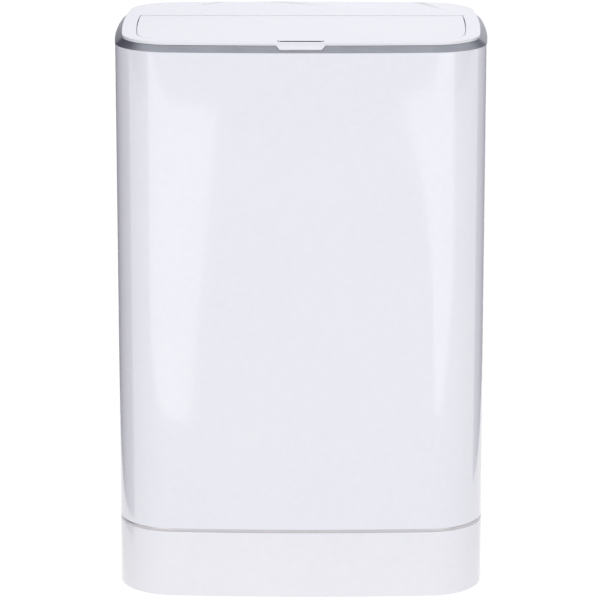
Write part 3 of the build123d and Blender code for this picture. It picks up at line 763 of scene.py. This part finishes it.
def repeated_rings(
    piece: str, place: Vector, radius: float, wire: float, count: int, pitch: float, finish: Finish
) -> bpy.types.Object:
    """Raised rings spaced along X round a bar.

    Args:
        piece: the new piece's name.
        place: the middle of the row.
        radius: radius of a ring's centre line.
        wire: half the width of a ring.
        count: how many rings.
        pitch: distance from one ring to the next.
        finish: the rings' finish.

    Returns:
        The baked piece.
    """
    tool = NodeTool(piece + "_tool", {"Radius": radius, "Wire": wire, "Pitch": pitch})
    loop = tool.add("GeometryNodeCurvePrimitiveCircle", {"Resolution": RING_STEPS})
    section = tool.add("GeometryNodeCurvePrimitiveCircle", {"Resolution": RING_SIDES})
    tool.tree.links.new(tool.size("Radius"), loop.inputs["Radius"])
    tool.tree.links.new(tool.size("Wire"), section.inputs["Radius"])
    ring = tool.add(
        "GeometryNodeCurveToMesh", {"Curve": loop.outputs[0], "Profile Curve": section.outputs[0]}
    )
    row = tool.add(
        "GeometryNodeMeshLine", {"Count": count, "Offset": tool.vector(tool.size("Pitch"))}
    )
    shifted = tool.add(
        "GeometryNodeTransform",
        {"Geometry": row.outputs[0], "Translation": tool.vector(-pitch * (count - 1) / 2)},
    )
    along = tool.add(
        "GeometryNodeInstanceOnPoints",
        {
            "Points": shifted.outputs[0],
            "Instance": ring.outputs[0],
            "Rotation": (0.0, QUARTER_TURN, 0.0),
        },
    )
    return tool.bake(piece, tool.at_seeds(along.outputs[0]), finish, [place])


def stud_field(
    piece: str, corner: Vector, counts: tuple[int, int], pitch: float, radius: float,
    height: float, finish: Finish, taper: float = 0.72,
) -> bpy.types.Object:
    """A grid of low round studs.

    Args:
        piece: the new piece's name.
        corner: base of the first stud.
        counts: studs along X and along Y.
        pitch: distance from one stud to the next.
        radius: radius of a stud's foot.
        height: how far it stands up, or down where negative.
        finish: the studs' finish.
        taper: radius of a stud's top as a share of its foot's.

    Returns:
        The baked piece.
    """
    tool = NodeTool(piece + "_tool", {"Radius": radius, "Height": abs(height)})
    stud = tool.add(
        "GeometryNodeMeshCone",
        {
            "Vertices": STUD_SIDES,
            "Radius Top": tool.times(tool.size("Radius"), taper),
            "Radius Bottom": tool.size("Radius"),
            "Depth": tool.size("Height"),
        },
    )
    flip = math.pi if height < 0 else 0.0
    places = [
        corner + Vector((i * pitch, j * pitch, 0.0))
        for i in range(counts[0])
        for j in range(counts[1])
    ]
    laid = tool.at_seeds(stud.outputs["Mesh"], (flip, 0.0, 0.0))
    return tool.bake(piece, laid, finish, places)


def crease_tree() -> bpy.types.NodeTree:
    """A tree that welds a CAD mesh and smooths all but its sharp edges."""
    tree = bpy.data.node_groups.new("soften_creases", "GeometryNodeTree")
    tree.interface.new_socket("Geometry", in_out="INPUT", socket_type="NodeSocketGeometry")
    tree.interface.new_socket("Geometry", in_out="OUTPUT", socket_type="NodeSocketGeometry")
    start = add_node(tree, "NodeGroupInput")
    welded = add_node(
        tree, "GeometryNodeMergeByDistance", {"Geometry": start.outputs[0], "Distance": CAD_WELD}
    )
    smooth = add_node(
        tree, "GeometryNodeSetShadeSmooth", {0: welded.outputs[0], "Shade Smooth": True}
    )
    angle = add_node(tree, "GeometryNodeInputMeshEdgeAngle")
    sharp = add_node(
        tree,
        "FunctionNodeCompare",
        {0: angle.outputs["Unsigned Angle"], 1: math.radians(CREASE)},
        operation="GREATER_THAN",
    )
    creased = add_node(
        tree,
        "GeometryNodeSetShadeSmooth",
        {0: smooth.outputs[0], "Selection": sharp.outputs[0], "Shade Smooth": False},
        domain="EDGE",
    )
    add_node(tree, "NodeGroupOutput", {0: creased.outputs[0]})
    return tree


# ------------------------------------------------------------------ sub-assemblies
@dataclass
class Cabinet:
    """The fixed outside of the bin: enamelled shell, base and metal strip."""

    outline: Outline
    wall: float = 1.2 * MM
    base_wall: float = 3 * MM
    edge: float = 0.7 * MM
    base_foot: float = 1.4 * MM
    strip_width: float = 8 * MM
    strip_edge: float = 0.4 * MM
    strip_crease: float = 50.0
    land: float = 1 * MM
    foot_land: float = 0.2 * MM
    shell_hem: float = 2 * MM

    def build(self) -> None:
        """Make the shell, the base and the strip, and let them ride on the root."""
        self._shell()
        self._strip()
        self._base()

    def _shell(self) -> None:
        """The steel shell, with its top edge turned over a little."""
        low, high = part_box("body_shell")
        profile = [(0.0, low.z), (0.0, low.z + self.shell_hem), (0.0, high.z - self.edge)]
        profile += rounded(self.edge, high.z - self.edge, self.edge, 0, 90, 4)
        profile += [(self.wall, high.z), (self.wall, low.z)]
        mesh = self.outline.sweep("enamelled_shell", profile, crease=BLUNT_CREASE)
        settle(new_piece("enamelled_shell", mesh, Finishes.ENAMEL), "root", "body_shell")

    def _strip(self) -> None:
        """The thin metal strip between the shell and the base, with broken edges."""
        low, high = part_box("lower_trim_strip")
        edge = self.strip_edge
        profile = rounded(edge, low.z + edge, edge, -90, 0, 3)
        profile += rounded(edge, high.z - edge, edge, 0, 90, 3)
        profile += [(self.strip_width, high.z), (self.strip_width, low.z)]
        mesh = self.outline.sweep("metal_strip", profile, crease=self.strip_crease)
        piece = new_piece("metal_strip", mesh, Finishes.BRIGHT_ALUMINIUM)
        settle(piece, "root", "lower_trim_strip")

    def _base(self) -> None:
        """The moulded base: a wall with a rounded foot under a flat top."""
        low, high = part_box("base_plinth")
        foot, edge = self.base_foot, self.edge
        profile = [(self.base_wall, high.z - self.base_wall), (self.base_wall, low.z)]
        profile += [(foot + self.foot_land, low.z)]
        profile += rounded(foot, low.z + foot, foot, -90, 0, 5)
        profile += rounded(edge, high.z - edge, edge, 0, 90, 4)
        profile += [(edge + self.land, high.z)]
        mesh = self.outline.sweep("moulded_base", profile, solid=True, crease=BLUNT_CREASE)
        settle(new_piece("moulded_base", mesh, Finishes.ABS), "root", "base_plinth")


@dataclass
class Flap:
    """The inset flap, with its hinge nose along the rear edge and a lip over the finger slot."""

    outline: Outline
    inset: float = 24.8 * MM
    edge: float = 0.9 * MM
    lip_width: float = 47 * MM
    lip_reach: float = 2.5 * MM
    lip_slant: float = 1.4
    lip_chamfer: float = 0.4 * MM
    lip_round: float = 0.3
    skirt_land: float = 1 * MM
    skirt_chamfer: float = 0.3 * MM
    top_land: float = 0.5 * MM
    # Sizes of the dark strip on the lip's face, which is painted shade for the slot under it.
    strip_margin: float = 0.5 * MM
    strip_proud: float = 0.35 * MM
    strip_drop: float = 0.5 * MM
    strip_edge: float = 0.1 * MM
    nose_margin: float = 4 * MM
    nose_steps: int = 28
    crease: float = 34.0

    def build(self) -> None:
        """Make the flap and let it ride on its body."""
        low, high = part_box("flap_panel")
        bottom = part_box("flap_seal")[1].z
        skin = high.z - bottom
        axis_y = high.y - skin
        work = bmesh.new()
        profile = [
            (self.inset + self.skirt_land, bottom), (self.inset, bottom + self.skirt_chamfer)
        ]
        profile += rounded(self.inset + self.edge, high.z - self.edge, self.edge, 0, 90, 5)
        profile += [(self.inset + self.edge + self.top_land, high.z)]
        work.from_mesh(self.outline.sweep("panel", profile, rear=axis_y, solid=True))
        self._nose(work, axis_y, bottom, skin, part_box("flap_pins"))
        self._lip(work, low.y, bottom, high.z)
        mesh = close_mesh("inset_flap", work, self.crease)
        settle(new_piece("inset_flap", mesh, Finishes.ABS), "flap", "flap_panel")
        # The dark strip on the lip's face is painted shade for the slot beneath it.
        self._slot_shade_strip(low.y, bottom, high.z)

    def _slot_shade_strip(self, front: float, bottom: float, top: float) -> None:
        """A dark strip of painted shade along the face that a finger pulls up, standing for the
        shade in the slot under the lip; it wears the black rubber finish.
        """
        half = self.lip_width / 2 - self.strip_margin
        low = Vector((-half, front - self.strip_proud, bottom + self.lip_chamfer))
        high = Vector((half, front + self.strip_proud, top - self.strip_drop))
        work = bmesh.new()
        made = bmesh.ops.create_cube(work, size=1)
        place = Matrix.Translation((low + high) / 2) @ Matrix.Diagonal((*(high - low), 1.0))
        bmesh.ops.transform(work, matrix=place, verts=made["verts"])
        bmesh.ops.bevel(
            work, geom=work.edges[:], offset=self.strip_edge, segments=2, affect="EDGES"
        )
        mesh = close_mesh("finger_strip", work, BLUNT_CREASE)
        settle(new_piece("finger_strip", mesh, Finishes.RUBBER), "flap")

    def _nose(self, work: bmesh.types.BMesh, y: float, z: float, radius: float, pins) -> None:
        """The round nose about the hinge axis, a little shorter than the pins reach."""
        half = pins[1].x - self.nose_margin
        made = bmesh.ops.create_cone(
            work, cap_ends=True, segments=self.nose_steps, radius1=radius, radius2=radius,
            depth=2 * half,
        )
        place = Matrix.Translation((0, y, z)) @ Matrix.Rotation(QUARTER_TURN, 4, "Y")
        bmesh.ops.transform(work, matrix=place, verts=made["verts"])

    def _lip(self, work: bmesh.types.BMesh, front: float, bottom: float, top: float) -> None:
        """The lip that a finger lifts, with chamfered ends."""
        half, reach, edge = self.lip_width / 2, self.lip_reach, self.edge
        back = front + reach * self.lip_slant
        plan = [(-half - reach, back), (-half, front), (half, front), (half + reach, back)]
        corner = self.lip_round * edge
        levels = [
            (self.lip_chamfer, bottom), (0.0, bottom + self.lip_chamfer), (0.0, top - edge),
            (corner, top - corner), (edge, top),
        ]
        rings = [
            [work.verts.new((x, max(y, front + shrink), z)) for x, y in plan]
            for shrink, z in levels
        ]
        count = len(plan)
        for lower, upper in zip(rings, rings[1:]):
            for i in range(count):
                j = (i + 1) % count
                work.faces.new((lower[i], lower[j], upper[j], upper[i]))
        work.faces.new(rings[0])
        work.faces.new(rings[-1])


@dataclass
class Fasteners:
    """Screws and springs, made once by geometry nodes wherever the CAD has their places."""

    base_head: float = 4.0 * MM
    pan_head: float = 3.2 * MM
    handle_head: float = 3.6 * MM
    spring_wire: float = 2.2 * MM

    def build(self) -> None:
        """Make every group of screws and the two return springs."""
        for piece, node, body, up, head in (
            ("base_pan_screws", "base_screws", "root", -1, self.base_head),
            ("carrier_pan_screws", "carrier_screws", "lid", -1, self.pan_head),
            ("flap_pan_screws", "flap_screws", "flap", -1, self.pan_head),
            ("handle_pan_screws", "handle_screws", "press", 1, self.handle_head),
        ):
            settle(PanHead(head).build(piece, node, up, Finishes.ZINC), body, node)
        coil = wound_springs(
            "wound_return_springs", "return_springs", self.spring_wire, Finishes.SPRING
        )
        settle(coil, "lid", "return_springs")


@dataclass
class Press:
    """Grip, ribs and studs that the press's CAD pieces carry."""

    rib: float = 1.1 * MM
    ribs: int = 17
    rib_margin: float = 5 * MM
    bore: float = 0.5
    end_round: float = 2 * MM
    end_steps: int = 6
    grip_sides: int = 40
    stud_pitch: float = 18 * MM
    stud_margin: float = 20 * MM
    stud_radius: float = 4 * MM
    stud_height: float = 2 * MM

    def build(self) -> None:
        """Make the ribbed grip and the studs under the plate."""
        self._grip()
        self._studs()

    def _grip(self) -> None:
        """A rubber sleeve with rounded ends, and rings round it."""
        low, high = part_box("handle_grip")
        middle, radius = (low + high) / 2, (high.z - low.z) / 2
        sleeve = radius - self.rib
        half = (high.x - low.x) / 2
        end = self.end_round
        profile = [(-half, radius * self.bore), (-half, sleeve - end)]
        for i in range(self.end_steps + 1):
            turn = QUARTER_TURN * i / self.end_steps
            x = -half + end * (1 - math.cos(turn))
            profile.append((x, sleeve - end * (1 - math.sin(turn))))
        profile += [(-x, r) for x, r in reversed(profile)]
        turns = [2 * math.pi * i / self.grip_sides for i in range(self.grip_sides)]
        work = bmesh.new()
        rings = []
        for x, r in profile:
            round_x = [Vector((x, r * math.cos(t), r * math.sin(t))) for t in turns]
            rings.append([work.verts.new(middle + place) for place in round_x])
        for first, second in zip(rings, rings[1:] + rings[:1]):
            for i in range(self.grip_sides):
                j = (i + 1) % self.grip_sides
                work.faces.new((first[i], first[j], second[j], second[i]))
        mesh = close_mesh("rubber_grip", work)
        settle(new_piece("rubber_grip", mesh, Finishes.RUBBER), "press", "handle_grip")
        pitch = 2 * (half - self.rib_margin) / (self.ribs - 1)
        ribs = repeated_rings(
            "grip_ribs", middle, sleeve, self.rib, self.ribs, pitch, Finishes.RUBBER
        )
        settle(ribs, "press")

    def _studs(self) -> None:
        """Studs that key the plate into what it presses."""
        low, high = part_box("press_plate")
        pitch = self.stud_pitch
        room = [high[i] - low[i] - 2 * self.stud_margin for i in (0, 1)]
        counts = (int(room[0] / pitch) + 1, int(room[1] / pitch) + 1)
        corner = Vector((-(counts[0] - 1) * pitch / 2, -(counts[1] - 1) * pitch / 2, low.z))
        made = stud_field(
            "plate_studs", corner, counts, pitch, self.stud_radius, -self.stud_height,
            Finishes.NYLON,
        )
        settle(made, "press")


FRAME: dict = {}


def settle(piece: bpy.types.Object, body: str, *nodes: str) -> None:
    """Let a piece ride on a body and stand for its CAD nodes, and report it.

    Args:
        piece: the finished piece.
        body: the body that it moves with.
        *nodes: the CAD nodes that it replaces.
    """
    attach(piece, body)
    if nodes:
        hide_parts(*nodes)
    LOG.info("%s rides on %s, %d faces", piece.name, body, len(piece.data.polygons))


def dress_cad_nodes() -> None:
    """Give every CAD node that stays its finish and soft shading."""
    tree = crease_tree()
    for finish, nodes in CAD_FINISHES.items():
        for node in nodes:
            piece = FRAME["nodes"][node]
            piece.data.materials.clear()
            piece.data.materials.append(finish.material())
            piece.modifiers.new("soften_creases", "NODES").node_group = tree
            LOG.info("%s wears %s", node, finish.name)


# ------------------------------------------------------------------ studio
@dataclass(frozen=True)
class SoftBox:
    """A rectangular studio light that aims at a point."""

    name: str
    place: tuple[float, float, float]
    aim: tuple[float, float, float]
    size: tuple[float, float]
    power: float
    roll: float = 0.0
    shows: bool = True
    lights: bool = True

    def build(self) -> None:
        """Add the light."""
        light = bpy.data.lights.new(self.name, "AREA")
        light.shape = "RECTANGLE"
        light.size, light.size_y = self.size
        light.energy = self.power
        lamp = bpy.data.objects.new(self.name, light)
        bpy.context.scene.collection.objects.link(lamp)
        way = Vector(self.aim) - Vector(self.place)
        turn = way.to_track_quat("-Z", "Y").to_matrix().to_4x4()
        roll = Matrix.Rotation(self.roll, 4, "Z")
        lamp.matrix_world = Matrix.Translation(self.place) @ turn @ roll
        lamp.visible_camera = False
        lamp.visible_glossy = self.shows
        lamp.visible_diffuse = self.lights


def matt(name: str, colour: str, roughness: float) -> bpy.types.Material:
    """A plain matt material for something staged.

    Args:
        name: the material's name.
        colour: six hex digits.
        roughness: its roughness.

    Returns:
        The material, without any shine.
    """
    made = bpy.data.materials.new(name)
    made.use_nodes = True
    shader = made.node_tree.nodes["Principled BSDF"]
    shader.inputs["Base Color"].default_value = linear(colour)
    shader.inputs["Roughness"].default_value = roughness
    shader.inputs["Specular IOR Level"].default_value = 0.0
    return made


def stage_quad(
    name: str, corners: list[tuple[float, float, float]], material: bpy.types.Material
) -> bpy.types.Object:
    """A staged four-cornered sheet."""
    mesh = bpy.data.meshes.new(name)
    mesh.from_pydata(corners, [], [(0, 1, 2, 3)])
    mesh.materials.append(material)
    sheet = bpy.data.objects.new(name, mesh)
    bpy.context.scene.collection.objects.link(sheet)
    return sheet


@dataclass
class Studio:
    """Glowing floor, pale surroundings, side cards, lights and the camera."""

    floor_size: float = 30.0
    floor_glow: float = 1.0
    left_card: tuple[float, float] = (-0.47, -0.10)
    right_card: tuple[float, float] = (0.60, 0.05)
    card_rear: float = 0.95
    card_height: float = 1.05
    card_colour: str = "726F7C"
    card_roughness: float = 0.95
    paper_colour: str = "404040"
    glow_colour: str = "FFFFFF"
    paper_roughness: float = 0.9
    world_colour: str = "F0F0F6"
    side_colour: str = "6E6B7A"
    world_strength: float = 1.1
    fall_from: float = 0.62
    fall_to: float = 0.95
    camera_distance: float = 3.846
    camera_height: float = 1.2845
    camera_side: float = 0.02
    pitch: float = 0.24416
    heading: float = 0.0056
    focal: float = 205.5
    sensor: float = 36.0
    sight: float = 60.0
    shift: float = -0.0175

    def build(self) -> None:
        """Make the floor, the cards, the world, the lights and the camera."""
        self._floor()
        self._cards()
        self._world()
        for box in self._lights():
            box.build()
        self._camera()
        bpy.context.scene.view_settings.view_transform = "Standard"

    def _floor(self) -> None:
        """A wide matt floor, lit from within so that it stays an even white."""
        half = self.floor_size / 2
        corners = [(-half, -half, 0), (half, -half, 0), (half, half, 0), (-half, half, 0)]
        paper = matt("studio_paper", self.paper_colour, self.paper_roughness)
        shader = paper.node_tree.nodes["Principled BSDF"]
        shader.inputs["Emission Color"].default_value = linear(self.glow_colour)
        shader.inputs["Emission Strength"].default_value = self.floor_glow
        stage_quad("studio_floor", corners, paper)

    def _cards(self) -> None:
        """Two dark cards beside the bin that draw its edges, seen only in reflections."""
        card = matt("studio_card", self.card_colour, self.card_roughness)
        far, top = self.card_rear, self.card_height
        for side, (x, near) in (("left", self.left_card), ("right", self.right_card)):
            corners = [(x, near, 0), (x, far, 0), (x, far, top), (x, near, top)]
            stand = stage_quad(f"{side}_card", corners, card)
            stand.visible_camera = False

    def _world(self) -> None:
        """Pale surroundings that fall off to a dusky violet at both sides."""
        world = bpy.data.worlds.new("studio_world")
        world.use_nodes = True
        tree = world.node_tree
        way = add_node(tree, "ShaderNodeTexCoord").outputs["Generated"]
        axes = add_node(tree, "ShaderNodeSeparateXYZ", {"Vector": way})
        side = add_node(tree, "ShaderNodeMath", {0: axes.outputs["X"]}, operation="ABSOLUTE")
        fall = add_node(
            tree,
            "ShaderNodeMapRange",
            {"Value": side.outputs[0], "From Min": self.fall_from, "From Max": self.fall_to},
            interpolation_type="SMOOTHSTEP",
        )
        blend = add_node(
            tree, "ShaderNodeMix", {"Factor": fall.outputs["Result"]}, data_type="RGBA"
        )
        blend.inputs["A"].default_value = linear(self.world_colour)
        blend.inputs["B"].default_value = linear(self.side_colour)
        sky = tree.nodes["Background"]
        tree.links.new(blend.outputs["Result"], sky.inputs["Color"])
        sky.inputs["Strength"].default_value = self.world_strength
        bpy.context.scene.world = world

    def _lights(self) -> list[SoftBox]:
        """A broad top light and two upright panels that show as reflections on the front."""
        return [
            SoftBox(
                "top_box", place=(0.3, -0.5, 2.6), aim=(0, 0, 0.6), size=(2.0, 2.0), power=6,
                shows=False,
            ),
            SoftBox(
                "left_panel", place=(-0.68, -1.0, 0.30), aim=(-0.68, 0.0, 0.30),
                size=(0.92, 0.62), power=1.5, roll=math.radians(-7), lights=False,
            ),
            SoftBox(
                "right_panel", place=(0.76, -1.0, 0.38), aim=(0.76, 0.0, 0.38),
                size=(0.92, 0.70), power=1.7, roll=math.radians(18), lights=False,
            ),
        ]

    def _camera(self) -> None:
        """A long lens in front of the bin, looking a little down."""
        lens = bpy.data.cameras.new("front_camera")
        lens.lens = self.focal
        lens.sensor_width = self.sensor
        lens.shift_y = self.shift
        lens.clip_end = self.sight
        camera = bpy.data.objects.new("front_camera", lens)
        camera.location = (self.camera_side, -self.camera_distance, self.camera_height)
        camera.rotation_euler = (math.pi / 2 - self.pitch, 0.0, self.heading)
        bpy.context.scene.collection.objects.link(camera)
        bpy.context.scene.camera = camera


def main() -> None:
    """Build the whole look on the frame."""
    logging.basicConfig(level=logging.INFO, format="%(message)s")
    FRAME.update(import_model())
    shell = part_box("body_shell")
    outline = Outline(width=shell[1].x - shell[0].x, depth=shell[1].y - shell[0].y)
    dress_cad_nodes()
    Cabinet(outline).build()
    Flap(outline).build()
    Fasteners().build()
    Press().build()
    Studio().build()


if __name__ == "__main__":
    main()
